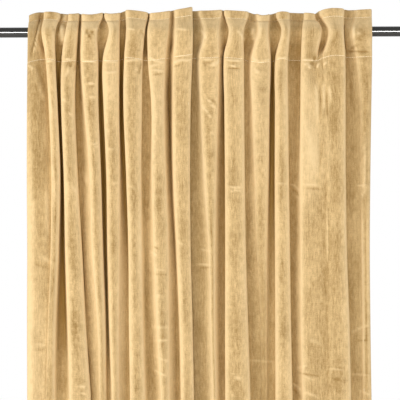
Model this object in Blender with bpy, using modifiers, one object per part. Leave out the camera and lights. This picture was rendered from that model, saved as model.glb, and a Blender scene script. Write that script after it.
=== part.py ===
"""A pair of gathered velvet curtains on a round metal rod.

Each curtain is one length of cloth. Its top is turned over to the back and held by two rows of
stitches, which leave a pocket for the rod and a short header standing above it. Below the pocket
the cloth hangs in uneven folds. The origin is on the rod's axis, halfway along it. The curtains
face -Y, and +Z is up.
"""
from collections import namedtuple
from math import pi

import bmesh
import bpy
from mathutils import Vector

MM = 0.001

# Rod
ROD_DIAMETER = 25 * MM
ROD_LENGTH = 1200 * MM
ROD_SIDES = 48
ROD_END_BEVEL = 1 * MM

# Cloth. From here on the tables and the section functions work in millimetres.
CLOTH_THICKNESS = 2.0
LAYER_SPACING = 3.0
DROP = 2400.0
FOOT_SPREAD = 0.03

# A fold's edges are the two sides of its crest, left and right of the rod's middle, at these heights.
EDGE_HEIGHTS = (38, 0, -66, -180, -350, -535, -720, -890)
# Its front is how far its crest stands before the rod's axis, and its hollow how far back the
# valley on its right lies, at these heights.
DEPTH_HEIGHTS = (0, -66, -150, -600, -890)
# Three more settings change once on the way down, between their own two heights. A bank is how far
# out from the crest's left and right edge the valley floor starts, or in under the crest where it
# is below nothing. Lean turns the crest's right side back, and tilt brings the left side of the
# valley on its right forward.
BANK_HEIGHTS = (-150, -560)
LEAN_HEIGHTS = (-150, -520)
TILT_HEIGHTS = (-250, -420)

# Lift is how much higher than the others the cloth of that fold is sewn, at its left, middle and right.
Fold = namedtuple("Fold", "edges front hollow lift bank lean tilt")

LEFT_FOLDS = (
    Fold(((-418, -392), (-419, -397), (-421, -384), (-422, -377),
          (-422, -375), (-418, -377), (-418, -382), (-421, -387)),
         (-38, -33, -35, -38, -41), (-28, -23, -24, -36, -41), (-8, -2, 1), ((0, 0), (4, 4)), (16, 3), (0, 0)),
    Fold(((-382, -343), (-386, -353), (-377, -354), (-369, -349),
          (-363, -343), (-365, -347), (-372, -354), (-377, -356)),
         (-44, -38, -40, -42, -42), (-26, -2, 12, -4, -26), (1, 1, -2), ((-4, -4), (-4, 4)), (0, 2), (0, 5)),
    Fold(((-322, -296), (-327, -298), (-338, -303), (-339, -306),
          (-333, -300), (-330, -290), (-329, -281), (-326, -270)),
         (-44, -36, -40, -44, -46), (-17, -4, -12, -20, -24), (-4, -4, -2), ((-4, 6), (-3, -2)), (5, 5), (2, 0)),
    Fold(((-289, -238), (-289, -250), (-291, -249), (-280, -249),
          (-266, -242), (-261, -238), (-248, -233), (-246, -231)),
         (-46, -38, -42, -44, -36), (-27, -2, 12, 2, -16), (-4, -6, -1), ((6, 22), (-3, 2)), (5, 5), (0, 2)),
    Fold(((-233, -195), (-221, -196), (-237, -197), (-235, -198),
          (-232, -196), (-228, -196), (-223, -198), (-217, -198)),
         (-44, -37, -42, -42, -40), (-17, -2, 8, -19, -22), (-2, -4, -5), ((-4, 4), (-4, 16)), (5, 4), (2, -6)),
    Fold(((-181, -127), (-179, -134), (-184, -140), (-186, -142),
          (-180, -144), (-175, -142), (-174, -140), (-172, -135)),
         (-47, -40, -44, -44, -44), (-18, -20, -20, -21, -19), (2, 4, 0), ((-4, -4), (-3, 12)), (5, 6), (2, 0)),
    Fold(((-122, -72), (-127, -75), (-126, -82), (-118, -86),
          (-118, -82), (-114, -76), (-107, -75), (-98, -74)),
         (-46, -38, -42, -44, -44), (-26, -20, -12, -19, -19), (-3, -1, 3), ((-2, 20), (6, 14)), (5, 7), (9, -4)),
    Fold(((-61, -18), (-61, -17), (-65, -18), (-67, -23),
          (-62, -25), (-56, -24), (-51, -20), (-48, -17)),
         (-48, -40, -44, -44, -44), (-38, -30, -34, -34, -34), (5, 8, 12), ((-4, -4), (0, 0)), (0, 2), (0, 0)),
)

RIGHT_FOLDS = (
    Fold(((-2, 55), (11, 48), (-2, 49), (1, 46), (8, 41), (20, 38), (23, 36), (27, 37)),
         (-44, -37, -40, -42, -42), (-26, -8, -8, -17, -21), (3, 3, 5), ((6, 24), (8, 8)), (0, 0), (8, 5)),
    Fold(((61, 120), (72, 108), (60, 108), (61, 108), (62, 109), (62, 111), (61, 116), (61, 121)),
         (-47, -40, -44, -46, -46), (-26, -16, -21, -23, -21), (5, 4, -1), ((-3, -3), (-4, -4)), (0, 0), (4, 0)),
    Fold(((140, 172), (143, 168), (125, 173), (127, 170), (132, 168), (137, 165), (147, 164), (147, 164)),
         (-44, -37, -40, -30, -22), (-24, -2, 4, -22, -22), (-7, -8, -5), ((5, 18), (4, 6)), (0, 0), (0, -6)),
    Fold(((189, 221), (201, 221), (186, 216), (185, 216), (184, 217), (184, 219), (184, 221), (184, 224)),
         (-46, -38, -42, -44, -44), (-26, -14, -19, -21, -20), (-1, 2, 0), ((-4, -4), (-4, -4)), (0, 0), (9, 1)),
    Fold(((257, 284), (252, 298), (249, 287), (247, 293), (245, 294), (245, 298), (245, 298), (249, 298)),
         (-45, -38, -44, -44, -44), (-27, -34, -42, -43, -43), (-1, -2, -3), ((-2, 12), (2, 4)), (4, 2), (0, 0)),
    Fold(((296, 355), (316, 352), (303, 356), (309, 356), (310, 356), (311, 358), (311, 364), (311, 367)),
         (-47, -40, -45, -46, -46), (-27, -15, -17, -20, -18), (6, 11, 7), ((2, 4), (-4, -4)), (-2, 0), (4, 3)),
    Fold(((384, 423), (372, 422), (382, 422), (392, 420), (392, 417), (394, 415), (396, 416), (396, 418)),
         (-38, -32, -30, -30, -30), (-28, -24, -22, -22, -22), (4, 5, 6), ((18, 16), (0, 0)), (0, -6), (0, 0)),
)

# The right curtain starts in the valley behind the left one's last fold, at its free edge: how far
# out that is at EDGE_HEIGHTS, how far back at DEPTH_HEIGHTS, and its tilt.
TUCKED_EDGE = (-22, -22, -22, -34, -34, -34, -34, -32)
TUCKED_HOLLOW = (-28, -16, -19, -21, -21)
TUCKED_TILT = (4, 0)

# Rows of the sheet round the rod. Crest and hollow are for a fold of usual depth, and inset is
# how far the turned-back layer is drawn in at the left curtain's free edge.
Row = namedtuple("Row", "height crest hollow inset")
USUAL_CREST = -46
USUAL_HOLLOW = -17
HEADER_SHARE = 0.3
BACK_SHARE = 0.3
HEADER_ROWS = (Row(46, -22, 0, 0), Row(31, -26, -3, 9))
POCKET_FRONT = (Row(18, -36, -7, 0), Row(4, -45, -17, 0), Row(-14, -47, -17, 0), Row(-40, -43, -6, 0))
POCKET_BACK = (Row(21, -6, 4, 16), Row(10, 16, 25, 16), Row(-8, 18, 34, 16), Row(-30, 10, 30, 16),
               Row(-48, -14, 15, 12))
TURNED_HEM = (Row(-66, 0, 0, 9), Row(-75, 0, 0, 9))
HANGING_HEIGHTS = (-66, -90, -130, -190, -270, -370, -480, -600, -730, -870, -1100, -1500, -1950, -DROP)

# The header and the lower seam follow each fold's lift, which fades out below the seam.
LIFT_HEIGHTS = (46, 31, 21, -30, -66, -190)
LIFT_SHARES = (1, 1, 0, 0, 1, 0)

# Shape of a crest's two corners, as sizes or as shares of its width and depth. The left curtain's
# free edge curls back over a width and to a depth of its own, at BANK_HEIGHTS.
LEFT_CORNER = 10.0
RIGHT_CORNER = 6.0
CORNER_SHARE = 0.35
CORNER_DEPTH = 1.5
CORNER_BEND = 0.22
SIDE_DEPTH = 0.5
SIDE_BEND = 0.4
FRONT_BULGE = 1.0
CURL_DEPTHS = (3, 26)
CURL_WIDTHS = (12, 24)
# A valley's floor keeps a least width, and only a deep valley below the pocket is wider than its mouth.
VALLEY_DEPTH = 0.1
FLOOR_WIDTH = 4.5
UNDERCUT_DEPTH = 36
UNDERCUT_HEIGHTS = (-75, -150)
# Round the rod the back layer bends more softly: its corners are wider and its valleys open out.
SOFT_HEIGHTS, SOFT_SHARES = (31, 10, -30, -66), (0, 1, 1, 0)
SOFT_CORNER = 14.0
SOFT_BANK = 0.18

VELVET_COLOUR = (0.58, 0.38, 0.19, 1)
ROD_COLOUR = (0.055, 0.058, 0.065, 1)


def material(name, colour, roughness, metallic):
    made = bpy.data.materials.new(name)
    made.use_nodes = True
    shader = made.node_tree.nodes["Principled BSDF"]
    shader.inputs["Base Color"].default_value = colour
    shader.inputs["Roughness"].default_value = roughness
    shader.inputs["Metallic"].default_value = metallic
    return made


def between(heights, values, height):
    """Value at a height, on a smooth curve through the table's values, whose heights run down."""
    if height >= heights[0]:
        return values[0]
    if height <= heights[-1]:
        return values[-1]
    i = next(k for k in range(len(heights) - 1) if height >= heights[k + 1])
    span = heights[i] - heights[i + 1]
    t = (heights[i] - height) / span
    before, after = max(i - 1, 0), min(i + 2, len(heights) - 1)
    slope_in = (values[i + 1] - values[before]) / (heights[before] - heights[i + 1])
    slope_out = (values[after] - values[i]) / (heights[i] - heights[after])
    return (values[i] * (1 + 2 * t) * (1 - t) ** 2 + values[i + 1] * t * t * (3 - 2 * t)
            + span * (slope_in * t * (1 - t) ** 2 - slope_out * t * t * (1 - t)))


def spread(x, height, middle):
    """Below the lowest table height the curtain widens a little down to its foot."""
    below = max(0.0, EDGE_HEIGHTS[-1] - height) / (DROP + EDGE_HEIGHTS[-1])
    return middle + (x - middle) * (1 + FOOT_SPREAD * below)


def depth_tables(front, hollow):
    """Heights and depths of one fold: (heights, crest, hollow) for the front layer, then the back."""
    crest_more, hollow_more = front[0] - USUAL_CREST, hollow[0] - USUAL_HOLLOW
    tables = []
    below_pocket = (DEPTH_HEIGHTS[1:], [row.height for row in TURNED_HEM])
    for pocket, below in zip((POCKET_FRONT, POCKET_BACK), below_pocket):
        rows = HEADER_ROWS + pocket
        heights = [row.height for row in rows] + list(below)
        shares = [HEADER_SHARE] * len(HEADER_ROWS) + [1 if pocket is POCKET_FRONT else BACK_SHARE] * len(pocket)
        crests = [row.crest + crest_more for row in HEADER_ROWS]
        crests += [row.crest + crest_more * share for row, share in zip(pocket, shares[len(HEADER_ROWS):])]
        crests += [between(DEPTH_HEIGHTS, front, z) for z in below]
        hollows = [row.hollow + hollow_more * share for row, share in zip(rows, shares)]
        hollows += [between(DEPTH_HEIGHTS, hollow, z) for z in below]
        tables.append((heights, crests, hollows))
    return tables


def crest_points(left, right, front, left_depth, right_depth, lean, lift, corners):
    """The front of a fold, from its softly rounded left side to its sharper right side."""
    width = right - left
    left_in, right_in = (min(corner, CORNER_SHARE * width) for corner in corners)
    left_side = min(SIDE_DEPTH * left_depth, CORNER_DEPTH * left_in)
    right_side = min(SIDE_DEPTH * right_depth, CORNER_DEPTH * right_in)
    outline = ((left, left_side), (left + CORNER_BEND * left_in, SIDE_BEND * left_side), (left + left_in, 0),
               ((left + right) / 2, -FRONT_BULGE), (right - right_in, 0),
               (right - CORNER_BEND * right_in, SIDE_BEND * right_side), (right, right_side))
    points = []
    for x, back in outline:
        u = (x - left) / width
        rise = lift[0] * (1 - u) * (1 - 2 * u) + lift[1] * 4 * u * (1 - u) + lift[2] * u * (2 * u - 1)
        points.append(Vector((x, front + back + lean * (u - 0.5), rise)))
    return points


def valley_points(left, right, hollow, left_depth, right_depth, left_bank, right_bank, lifts, tilt, height):
    """The floor between two folds."""
    room = max(0.0, right - left - FLOOR_WIDTH)
    inward = min(1.0, room / max(1.0, max(0, left_bank) + max(0, right_bank)))
    full = min(1.0, (min(left_depth, right_depth) / UNDERCUT_DEPTH) ** 2)
    under = full * between(UNDERCUT_HEIGHTS, (0, 1), height)
    tilt *= full
    left_bank, right_bank = (bank * inward if bank > 0 else bank * under for bank in (left_bank, right_bank))
    middle = (left + left_bank + right - right_bank) / 2
    return [Vector((left + left_bank, hollow - tilt - VALLEY_DEPTH * left_depth, lifts[0])),
            Vector((middle, hollow, (lifts[0] + lifts[1]) / 2)),
            Vector((right - right_bank, hollow + tilt - VALLEY_DEPTH * right_depth, lifts[1]))]


def section(folds, tables, tucked, height, behind):
    """Points of a level cut through a curtain, from left to right, each as x, y and its lift."""
    middle = (folds[0].edges[-1][0] + folds[-1].edges[-1][1]) / 2
    edges = [tuple(spread(between(EDGE_HEIGHTS, [pair[side] for pair in fold.edges], height), height, middle)
                   for side in (0, 1)) for fold in folds]
    depths = []
    for pair in tables:
        heights, crests, hollows = pair[behind]
        depths.append((between(heights, crests, height), between(heights, hollows, height)))
    soft = between(SOFT_HEIGHTS, SOFT_SHARES, height) if behind else 0
    points = []
    if tucked:
        start = spread(between(EDGE_HEIGHTS, TUCKED_EDGE, height), height, middle)
        hollow = depths[-1][1]
        left_depth = hollow - depths[0][0]
        bank = between(BANK_HEIGHTS, folds[0].bank[0], height)
        points += valley_points(start, edges[0][0], hollow, 0, left_depth, 0, bank, folds[0].lift[:1] * 2,
                                between(TILT_HEIGHTS, TUCKED_TILT, height), height)
    else:
        left_depth = between(BANK_HEIGHTS, CURL_DEPTHS, height)
    for i, fold in enumerate(folds):
        front, hollow = depths[i]
        lean = between(LEAN_HEIGHTS, fold.lean, height) * (1 - soft)
        right_depth = max(0.0, hollow - front - lean / 2)
        corners = (LEFT_CORNER if i or tucked else between(BANK_HEIGHTS, CURL_WIDTHS, height), RIGHT_CORNER)
        corners = [corner + soft * (SOFT_CORNER - corner) for corner in corners]
        points += crest_points(*edges[i], front, left_depth, right_depth, lean, fold.lift, corners)
        if i + 1 < len(folds):
            left_depth = hollow - depths[i + 1][0]
            lifts = (fold.lift[2], folds[i + 1].lift[0])
            open_bank = SOFT_BANK * (edges[i + 1][0] - edges[i][1])
            banks = [between(BANK_HEIGHTS, bank, height) for bank in (fold.bank[1], folds[i + 1].bank[0])]
            banks = [bank + soft * (open_bank - bank) for bank in banks]
            tilt = between(TILT_HEIGHTS, fold.tilt, height)
            points += valley_points(edges[i][1], edges[i + 1][0], hollow, right_depth, left_depth,
                                    *banks, lifts, tilt, height)
    return points


def moved_back(points, distance):
    """The same section a little further back, measured square to the cloth."""
    moved = []
    squares = [Vector((a.y - b.y, b.x - a.x)).normalized() for a, b in zip(points, points[1:])]
    for i, point in enumerate(points):
        before, after = squares[max(i - 1, 0)], squares[min(i, len(squares) - 1)]
        both = before + after
        out = both * (2 * distance / max(both.length_squared, 1.0))
        moved.append(point + Vector((out.x, out.y, 0)))
    return moved


def drawn_in(points, first, inset):
    """Points past the x of first are drawn to the left, the last one by the whole inset."""
    last = points[-1].x
    return [p - Vector((inset * max(0.0, (p.x - first) / (last - first)) ** 2, 0, 0)) for p in points]


def sheet_rows(folds, tucked):
    """Rows of points in mm, up the turned-back layer, over the top and down to the foot."""
    tables = [depth_tables(fold.front, fold.hollow) for fold in folds]
    if tucked:
        tables.append(depth_tables(folds[0].front, TUCKED_HOLLOW))
    turned = [(row.height, True, row.inset) for row in reversed(HEADER_ROWS + POCKET_BACK + TURNED_HEM)]
    front = [(row.height, False, 0) for row in HEADER_ROWS + POCKET_FRONT]
    hanging = [(height, False, 0) for height in HANGING_HEIGHTS]
    rows = []
    for height, behind, inset in turned + front + hanging:
        points = section(folds, tables, tucked, height, behind)
        if behind:
            points = moved_back(points, LAYER_SPACING)
            if not tucked:
                points = drawn_in(points, folds[-1].edges[0][0], inset)
        share = between(LIFT_HEIGHTS, LIFT_SHARES, height)
        rows.append([Vector((p.x, p.y, height + share * p.z)) for p in points])
    return rows


def add_to(collection, obj):
    for holder in list(obj.users_collection):
        holder.objects.unlink(obj)
    collection.objects.link(obj)


def make_panel(name, folds, tucked, velvet, collection):
    rows = sheet_rows(folds, tucked)
    across, down = len(rows[0]) - 1, len(rows) - 1
    grid = bmesh.new()
    bmesh.ops.create_grid(grid, x_segments=across, y_segments=down, size=1)
    for vert in grid.verts:
        column = round((vert.co.x + 1) / 2 * across)
        row = round((vert.co.y + 1) / 2 * down)
        vert.co = rows[row][column] * MM
    bmesh.ops.reverse_faces(grid, faces=grid.faces)
    mesh = bpy.data.meshes.new(name)
    grid.to_mesh(mesh)
    grid.free()
    mesh.materials.append(velvet)
    panel = bpy.data.objects.new(name, mesh)
    collection.objects.link(panel)
    thick = panel.modifiers.new("cloth", "SOLIDIFY")
    thick.thickness = CLOTH_THICKNESS * MM
    thick.offset = 0


def make_rod(metal, collection):
    bpy.ops.mesh.primitive_cylinder_add(vertices=ROD_SIDES, radius=ROD_DIAMETER / 2, depth=ROD_LENGTH,
                                        rotation=(0, pi / 2, 0))
    rod = bpy.context.object
    rod.name = "rod"
    rod.data.materials.append(metal)
    bevel = rod.modifiers.new("ends", "BEVEL")
    bevel.width = ROD_END_BEVEL
    bevel.segments = 2
    rod.data.shade_smooth()
    rod.data.set_sharp_from_angle(angle=pi / 5)
    add_to(collection, rod)


for old in list(bpy.data.objects):
    bpy.data.objects.remove(old)

curtains = bpy.data.collections.new("pair_of_curtains")
bpy.context.scene.collection.children.link(curtains)
sand_velvet = material("sand velvet", VELVET_COLOUR, 0.85, 0)
dark_metal = material("dark painted metal", ROD_COLOUR, 0.25, 0.6)
make_rod(dark_metal, curtains)
make_panel("left_panel", LEFT_FOLDS, False, sand_velvet, curtains)
make_panel("right_panel", RIGHT_FOLDS, True, sand_velvet, curtains)
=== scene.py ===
from collections import namedtuple
from math import cos, exp, hypot, pi, radians, sin

import bmesh
import bpy
from mathutils import Matrix, Vector, noise


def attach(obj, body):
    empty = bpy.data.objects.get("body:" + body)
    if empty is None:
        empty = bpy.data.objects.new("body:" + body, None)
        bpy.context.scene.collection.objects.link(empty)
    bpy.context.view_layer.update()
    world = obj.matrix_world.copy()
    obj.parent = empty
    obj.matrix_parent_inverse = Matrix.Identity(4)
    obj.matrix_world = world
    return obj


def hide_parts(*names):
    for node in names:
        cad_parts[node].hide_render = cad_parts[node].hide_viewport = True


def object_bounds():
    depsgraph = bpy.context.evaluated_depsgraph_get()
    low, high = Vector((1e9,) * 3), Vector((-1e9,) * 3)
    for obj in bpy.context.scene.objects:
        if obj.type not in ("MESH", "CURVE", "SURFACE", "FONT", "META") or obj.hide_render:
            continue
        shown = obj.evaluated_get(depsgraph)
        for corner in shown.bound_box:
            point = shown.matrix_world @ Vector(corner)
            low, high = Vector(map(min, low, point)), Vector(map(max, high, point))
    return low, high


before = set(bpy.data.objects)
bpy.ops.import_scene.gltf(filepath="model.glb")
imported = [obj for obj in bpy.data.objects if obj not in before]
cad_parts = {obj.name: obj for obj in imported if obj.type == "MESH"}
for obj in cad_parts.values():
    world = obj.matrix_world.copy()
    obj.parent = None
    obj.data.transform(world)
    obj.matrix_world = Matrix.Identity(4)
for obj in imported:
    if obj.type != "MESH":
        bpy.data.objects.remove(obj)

solid_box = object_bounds()

# Studio. The pair is looked at level, from well back with a long lens, so its header, rod and upper
# folds fill the frame. A strong soft light stands to the left and a weaker one to the right, two narrow
# upright panels near the camera light it from in front, and the room is white and dimmer overhead.
SHOWN_WIDTH = 0.98
LOOKED_AT = Vector((0, -0.03, -0.414))
CAMERA_DISTANCE = 5.0
CAMERA_ROLL = radians(0.17)
FLOOR_CLEARANCE, FLOOR_SIZE = 0.03, 12
FLOOR_COLOUR = (0.82, 0.81, 0.79, 1)
WHITE = (1, 1, 1, 1)
Light = namedtuple("Light", "name size place power")
LIGHTS = (
    Light("left softbox", (3.2, 1.8), (-3.3, -2.3, -0.6), 107),
    Light("right softbox", (1.8, 1.8), (3.4, -2.2, -0.6), 34),
    Light("left panel", (0.2, 1.3), (-0.86, -4.4, -0.5), 28),
    Light("right panel", (0.2, 1.3), (0.86, -4.4, -0.5), 28),
)
ROOM_LIGHT, ROOM_LIGHT_ABOVE = 0.86, 0.38
FADE_START, FADE_RATE = -0.1, 1.4

camera = bpy.data.objects.new("camera", bpy.data.cameras.new("camera"))
bpy.context.scene.collection.objects.link(camera)
camera.location = LOOKED_AT - Vector((0, CAMERA_DISTANCE, 0))
camera.rotation_euler = (pi / 2, CAMERA_ROLL, 0)
camera.data.lens = camera.data.sensor_width * CAMERA_DISTANCE / SHOWN_WIDTH
bpy.context.scene.camera = camera
bpy.context.scene.view_settings.view_transform = "Standard"

for light in LIGHTS:
    softbox = bpy.data.objects.new(light.name, bpy.data.lights.new(light.name, "AREA"))
    softbox.data.shape = "RECTANGLE"
    softbox.data.size, softbox.data.size_y = light.size
    softbox.data.energy = light.power
    softbox.location = light.place
    softbox.rotation_euler = (LOOKED_AT - Vector(light.place)).to_track_quat("-Z", "Y").to_euler()
    bpy.context.scene.collection.objects.link(softbox)


class Value:
    """A shader socket that can be used in sums."""

    def __init__(self, tree, socket):
        self.tree, self.socket = tree, socket

    def node(self, kind, settings=None, **inputs):
        """A node of any kind: its settings, then values or links for its sockets, by name or number."""
        made = self.tree.nodes.new(kind)
        for name, setting in (settings or {}).items():
            setattr(made, name, setting)
        for name, value in inputs.items():
            key = int(name[1:]) if name[1:].isdigit() else name.replace("_", " ")
            if isinstance(value, Value):
                self.tree.links.new(value.socket, made.inputs[key])
            else:
                made.inputs[key].default_value = value
        return made

    def of(self, made, output=0):
        return Value(self.tree, made.outputs[output])

    def math(self, operation, first, second=0.0, clamp=False):
        settings = {"operation": operation, "use_clamp": clamp}
        return self.of(self.node("ShaderNodeMath", settings, i0=first, i1=second))

    def __add__(self, other):
        return self.math("ADD", self, other)

    def __radd__(self, other):
        return self.math("ADD", other, self)

    def __sub__(self, other):
        return self.math("SUBTRACT", self, other)

    def __rsub__(self, other):
        return self.math("SUBTRACT", other, self)

    def __mul__(self, other):
        return self.math("MULTIPLY", self, other)

    def __rmul__(self, other):
        return self.math("MULTIPLY", other, self)

    def clamped(self):
        return self.math("ADD", self, 0.0, clamp=True)


def new_material(name):
    made = bpy.data.materials.new(name)
    made.use_nodes = True
    tree = made.node_tree
    return made, tree, tree.nodes["Principled BSDF"]


world = bpy.data.worlds.new("white room")
world.use_nodes = True
bpy.context.scene.world = world
room = Value(world.node_tree, None)
backdrop = world.node_tree.nodes["Background"]
backdrop.inputs["Color"].default_value = WHITE
direction = room.of(room.node("ShaderNodeTexCoord"), "Generated")
height = room.of(room.node("ShaderNodeSeparateXYZ", Vector=direction), "Z")
dimmer = ((height - FADE_START) * FADE_RATE).clamped()
strength = ROOM_LIGHT + dimmer * (ROOM_LIGHT_ABOVE - ROOM_LIGHT)
fill = room.node("ShaderNodeBackground", Color=WHITE, Strength=strength)
seen = room.of(room.node("ShaderNodeLightPath"), "Is Camera Ray")
both = room.node("ShaderNodeMixShader", i0=seen, i1=room.of(fill), i2=room.of(backdrop))
world.node_tree.links.new(both.outputs[0], world.node_tree.nodes["World Output"].inputs["Surface"])

floor_mesh = bmesh.new()
bmesh.ops.create_grid(floor_mesh, x_segments=1, y_segments=1, size=FLOOR_SIZE)
bmesh.ops.translate(floor_mesh, verts=floor_mesh.verts, vec=(0, 0, solid_box[0][2] - FLOOR_CLEARANCE))
floor = bpy.data.objects.new("floor", bpy.data.meshes.new("floor"))
floor_mesh.to_mesh(floor.data)
floor_mesh.free()
bpy.context.scene.collection.objects.link(floor)
floor_paint, _, floor_shader = new_material("pale floor")
floor_shader.inputs["Base Color"].default_value = FLOOR_COLOUR
floor_shader.inputs["Roughness"].default_value = 0.8
floor.data.materials.append(floor_paint)

# Rod. A steel tube with a dark graphite gloss paint, faintly uneven as sprayed paint is. It runs
# through both curtains' pockets, and its bare ends lie on brackets beyond the cloth.
ROD_PAINT = (0.035, 0.034, 0.031, 1)
PEEL_SCALE, PEEL_DEPTH = 900, 0.0004
CLOUD_SCALE, GLOSS, GLOSS_CHANGE = 30, 0.14, 0.08
rod_paint, rod_tree, rod_shader = new_material("graphite gloss paint")
rod_shader.inputs["Base Color"].default_value = ROD_PAINT
rod_shader.inputs["Metallic"].default_value = 0.55
paint = Value(rod_tree, None)
on_rod = paint.of(paint.node("ShaderNodeTexCoord"), "Object")
orange_peel = paint.of(paint.node("ShaderNodeTexNoise", Vector=on_rod, Scale=PEEL_SCALE, Detail=2))
cloudy = paint.of(paint.node("ShaderNodeTexNoise", Vector=on_rod, Scale=CLOUD_SCALE, Detail=3))
rod_tree.links.new((GLOSS + cloudy * GLOSS_CHANGE).socket, rod_shader.inputs["Roughness"])
peel = paint.node("ShaderNodeBump", Height=orange_peel, Strength=0.05, Distance=PEEL_DEPTH)
rod_tree.links.new(peel.outputs[0], rod_shader.inputs["Normal"])
rod_shader.inputs["Coat Weight"].default_value = 1.0
rod_shader.inputs["Coat Roughness"].default_value = 0.04
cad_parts["rod"].data.materials.clear()
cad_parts["rod"].data.materials.append(rod_paint)

# Velvet. Cotton velvet in a sand gold: the pile lies in fine upright streaks and crushed patches and
# shines pale where it is seen along the fold edges, partly by a painted sheen highlight, while its woven
# back is flat and duller. The pile has pale and deep tones, painted shade colours for a valley and for
# its bottom, a sheen tint, and a pale colour for rubbing that also serves for painted highlights.
PILE_LIGHT = (0.72, 0.505, 0.245, 1)
PILE_DEEP = (0.31, 0.185, 0.06, 1)
PILE_SHADED = (0.34, 0.212, 0.074, 1)
PILE_DEEPEST_SHADE = (0.47, 0.285, 0.075, 1)
PILE_SHEEN = (1.0, 0.73, 0.38, 1)
PILE_RUBBED_AND_HIGHLIGHT = (0.80, 0.60, 0.33, 1)
BACK_DARK = (0.42, 0.25, 0.09, 1)
BACK_LIGHT = (0.60, 0.40, 0.18, 1)
RIM_STRENGTH = 1.3
PILE_DEPTH, WEAVE_DEPTH = 0.003, 0.0003
WARP_SCALE, WEFT_SCALE = 260, 220


def mixed(factor, first, second):
    """The first colour turned into the second by a factor from 0 to 1."""
    blend = factor.node("ShaderNodeMix", {"data_type": "RGBA"}, i0=factor.clamped(), i6=first, i7=second)
    return factor.of(blend, 2)


def pile_material():
    made, tree, shader = new_material("sand gold velvet")
    pile = Value(tree, None)
    cloth = pile.of(pile.node("ShaderNodeTexCoord"), "UV")

    def noise_at(across, down, detail=3.0, roughness=0.5):
        placed = pile.of(pile.node("ShaderNodeMapping", Vector=cloth, Scale=(across, down, 1)))
        uneven = pile.node("ShaderNodeTexNoise", Vector=placed, Scale=1.0, Detail=detail, Roughness=roughness)
        return pile.of(uneven) - 0.5

    # unevenness of the pile, finer where its numbers across and down the cloth are larger
    streaks = noise_at(190, 12)
    hairs = noise_at(330, 60, roughness=0.6)
    weft = noise_at(60, 330, detail=2)
    patches = noise_at(20, 9, detail=5, roughness=0.6)
    blotches = noise_at(90, 70, detail=4, roughness=0.6)
    grain = noise_at(420, 400, detail=2, roughness=0.7)
    hollow = pile.of(pile.node("ShaderNodeAttribute", {"attribute_name": "hollow"}), 2)
    rubbed_and_painted_light = pile.of(pile.node("ShaderNodeAttribute", {"attribute_name": "rubbed_and_painted_light"}), 2)

    # its colour in random tones, paler with rubbing and with painted highlights at fold corners, creases
    # and the ledge, and darker with painted shade in crease troughs and valleys
    shade = 0.48 + streaks * 0.6 + hairs * 1.3 + weft * 0.3
    shade = shade + patches * 1.35 + blotches * 0.5 + grain * 0.8
    colour = mixed(shade + rubbed_and_painted_light * 0.6, PILE_DEEP, PILE_LIGHT)
    colour = mixed(rubbed_and_painted_light * 0.75 + blotches * rubbed_and_painted_light, colour, PILE_RUBBED_AND_HIGHLIGHT)
    # painted shade in the valleys
    tree.links.new(mixed(hollow * 0.75, colour, PILE_SHADED).socket, shader.inputs["Base Color"])
    height = streaks * 0.3 + hairs * 0.5 + patches * 0.8 + blotches * 0.8 + grain * 0.2
    bump = pile.node("ShaderNodeBump", Height=height, Strength=0.6, Distance=PILE_DEPTH)
    tree.links.new(bump.outputs[0], shader.inputs["Normal"])
    shader.inputs["Roughness"].default_value = 0.9
    shader.inputs["Specular IOR Level"].default_value = 0.1
    shader.inputs["Sheen Weight"].default_value = 0.2
    shader.inputs["Sheen Roughness"].default_value = 0.4
    shader.inputs["Sheen Tint"].default_value = PILE_SHEEN

    # pale tips where the pile is seen from the side, held back by painted valley shade, and a flat shader of
    # painted shade at the bottom of the deepest valleys
    deep = pile.node("ShaderNodeBsdfPrincipled", Base_Color=PILE_DEEPEST_SHADE, Roughness=1.0)
    deep.inputs["Specular IOR Level"].default_value = 0.0
    rim = pile.node("ShaderNodeBsdfPrincipled", Base_Color=PILE_RUBBED_AND_HIGHLIGHT, Roughness=1.0)
    rim.inputs["Specular IOR Level"].default_value = 0.0
    rim.inputs["Sheen Weight"].default_value = 0.3
    rim.inputs["Sheen Roughness"].default_value = 0.3
    rim.inputs["Sheen Tint"].default_value = PILE_SHEEN
    tree.links.new(bump.outputs[0], rim.inputs["Normal"])
    facing = pile.of(pile.node("ShaderNodeLayerWeight", Blend=0.5, Normal=pile.of(bump)), 1)
    # the shine seen from the side is held back by painted valley shade
    shown = (facing * RIM_STRENGTH).clamped() * (1 - hollow * 2).clamped()
    lit = pile.of(pile.node("ShaderNodeMixShader", i0=shown, i1=pile.of(shader), i2=pile.of(rim)))
    whole = pile.node("ShaderNodeMixShader", i0=(hollow * 2.2 - 1.2).clamped(), i1=lit, i2=pile.of(deep))
    tree.links.new(whole.outputs[0], tree.nodes["Material Output"].inputs["Surface"])
    return made


def back_material():
    made, tree, shader = new_material("woven velvet back")
    weave = Value(tree, None)
    cloth = weave.of(weave.node("ShaderNodeTexCoord"), "UV")

    def threads(way, scale):
        settings = {"bands_direction": way}
        wave = weave.node("ShaderNodeTexWave", settings, Vector=cloth, Scale=scale, Distortion=0.6)
        return weave.of(wave, 1)

    warp, weft = threads("X", WARP_SCALE), threads("Y", WEFT_SCALE)
    uneven = weave.of(weave.node("ShaderNodeTexNoise", Vector=cloth, Scale=14, Detail=4))
    shade = 0.3 + warp * 0.2 + weft * 0.2 + (uneven - 0.5) * 0.5
    tree.links.new(mixed(shade, BACK_DARK, BACK_LIGHT).socket, shader.inputs["Base Color"])
    bump = weave.node("ShaderNodeBump", Height=warp + weft, Strength=0.25, Distance=WEAVE_DEPTH)
    tree.links.new(bump.outputs[0], shader.inputs["Normal"])
    shader.inputs["Roughness"].default_value = 0.95
    shader.inputs["Sheen Weight"].default_value = 0.15
    return made


velvet_pile = pile_material()
velvet_back = back_material()

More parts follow.
